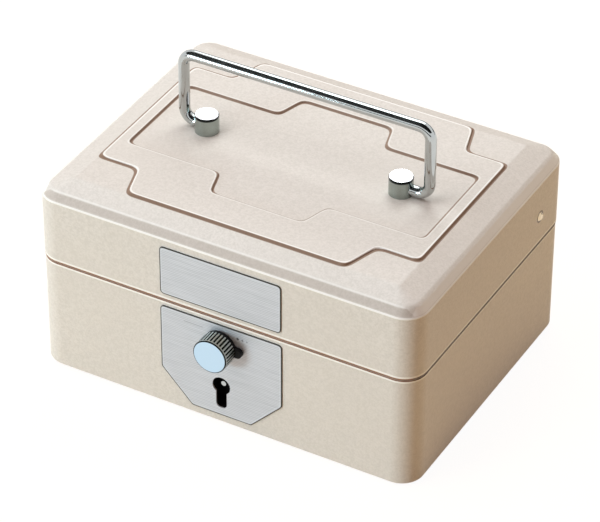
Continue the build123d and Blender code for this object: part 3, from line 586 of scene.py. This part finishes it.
def seen_plainly(tree):
    """1 for what the camera, a reflection or clear material looks at, whose light falls on nothing."""
    path = tree.nodes.new("ShaderNodeLightPath")
    total = path.outputs["Is Camera Ray"]
    for other in ("Is Glossy Ray", "Is Transmission Ray"):
        either = tree.nodes.new("ShaderNodeMath")
        either.operation = "MAXIMUM"
        tree.links.new(total, either.inputs[0])
        tree.links.new(path.outputs[other], either.inputs[1])
        total = either.outputs[0]
    return total


def stage_material(name, colour, whiteness):
    """Ground that the camera and the metal see as nearly white, with the object's shadow left in it."""
    just_over_white = 1.12
    finish = Finish(name)
    finish.tree.nodes.clear()
    ground = finish.node("ShaderNodeBsdfDiffuse", {}, {"Color": colour})
    glow = finish.node("ShaderNodeEmission", {}, {"Color": (1, 1, 1), "Strength": just_over_white})
    seen = Value(finish, seen_plainly(finish.tree))
    mixed = finish.node("ShaderNodeMixShader", {}, {0: seen * whiteness, 1: ground, 2: glow})
    output = finish.tree.nodes.new("ShaderNodeOutputMaterial")
    finish.tree.links.new(mixed.socket, output.inputs["Surface"])
    return finish.material


def flat_object(name, corners, material):
    """Flat stage object from its four corners."""
    shape = bmesh.new()
    shape.faces.new([shape.verts.new(corner) for corner in corners])
    mesh = bpy.data.meshes.new(name)
    shape.to_mesh(mesh)
    shape.free()
    mesh.materials.append(material)
    made = bpy.data.objects.new(name, mesh)
    bpy.context.scene.collection.objects.link(made)
    return made


def dark_card(name, corners):
    """Black card that only reflections show, as photographers stand beside bright metal."""
    finish = Finish(name, Base_Color=(0.002, 0.002, 0.002), Roughness=1.0)
    card = flat_object(name, corners, finish.material)
    card.visible_camera = False
    card.visible_diffuse = False
    card.visible_shadow = False
    card.visible_transmission = False


def level_corners(reach, front, back, level):
    """Corners of a level rectangle, as far to the left as to the right."""
    return [(-reach, front, level), (reach, front, level), (reach, back, level), (-reach, back, level)]


def upright_corners(reach, y, top):
    """Corners of a rectangle that stands on the floor."""
    return [(-reach, y, 0), (reach, y, 0), (reach, y, top), (-reach, y, top)]


flat_object(
    "floor",
    level_corners(reach=8, front=-8, back=8, level=-0.05 * MM),
    stage_material("floor_white", (0.9, 0.7, 0.42), whiteness=0.85),
)
dark_card("card_above", level_corners(reach=2, front=-1.5, back=0.25, level=1))
dark_card("card_front", upright_corners(reach=4, y=-3, top=0.6))
dark_card("card_behind", upright_corners(reach=4, y=3, top=0.8))

# White behind everything that is seen, and a dim warm room that lights the object
world = bpy.data.worlds.new("studio")
bpy.context.scene.world = world
world.use_nodes = True
tree = world.node_tree
tree.nodes.clear()
backdrop = tree.nodes.new("ShaderNodeBackground")
backdrop.inputs["Color"].default_value = (1, 1, 1, 1)
room = tree.nodes.new("ShaderNodeBackground")
room.inputs["Color"].default_value = (1.0, 0.3, 0.05, 1)
room.inputs["Strength"].default_value = 0.12
mixer = tree.nodes.new("ShaderNodeMixShader")
world_output = tree.nodes.new("ShaderNodeOutputWorld")
tree.links.new(seen_plainly(tree), mixer.inputs[0])
tree.links.new(room.outputs[0], mixer.inputs[1])
tree.links.new(backdrop.outputs[0], mixer.inputs[2])
tree.links.new(mixer.outputs[0], world_output.inputs["Surface"])


def softbox(name, place, target, size, power, colour, in_reflections=True):
    """Square lamp at a place in metres, turned to its target, with its power in watts."""
    lamp = bpy.data.lights.new(name, "AREA")
    lamp.shape = "SQUARE"
    lamp.size = size
    lamp.energy = power
    lamp.color = colour
    light = bpy.data.objects.new(name, lamp)
    light.location = place
    light.rotation_euler = (Vector(target) - Vector(place)).to_track_quat("-Z", "Y").to_euler()
    light.visible_glossy = in_reflections
    bpy.context.scene.collection.objects.link(light)


case_middle = (0, 0, 0.05)
lid_top = (0, 0, 0.09)
softbox("front", (-1.2, -1.9, 0.2), case_middle, size=0.6, power=27.5, colour=(0.83, 1.13, 1.28))
softbox("raised", (-0.7, -1.6, 1.6), case_middle, size=0.8, power=3.6, colour=(0.9, 0.7, 0.6))
softbox("behind", (-0.12, 0.42, 0.72), lid_top, size=0.5, power=2.9, colour=(0.98, 1.05, 1.04))
softbox("over", (-0.7, -0.4, 1.5), lid_top, size=1.2, power=16.5, colour=(1.0, 1.04, 1.05))
softbox(
    "side", (0.55, 0.5, 0.08), (0.09, 0.04, 0.02), size=0.15, power=0.58, colour=(1.0, 0.9, 0.55),
    in_reflections=False,
)

camera_data = bpy.data.cameras.new("camera")
camera_data.lens = 203.5
camera_data.sensor_width = 36
camera_data.clip_end = 50
camera = bpy.data.objects.new("camera", camera_data)
camera.location = (0.58065, -1.04134, 0.91655)
camera.rotation_euler = Euler((radians(53.7496), radians(-0.17), radians(29.3170)))
bpy.context.scene.collection.objects.link(camera)
bpy.context.scene.camera = camera
bpy.context.scene.view_settings.view_transform = "Standard"
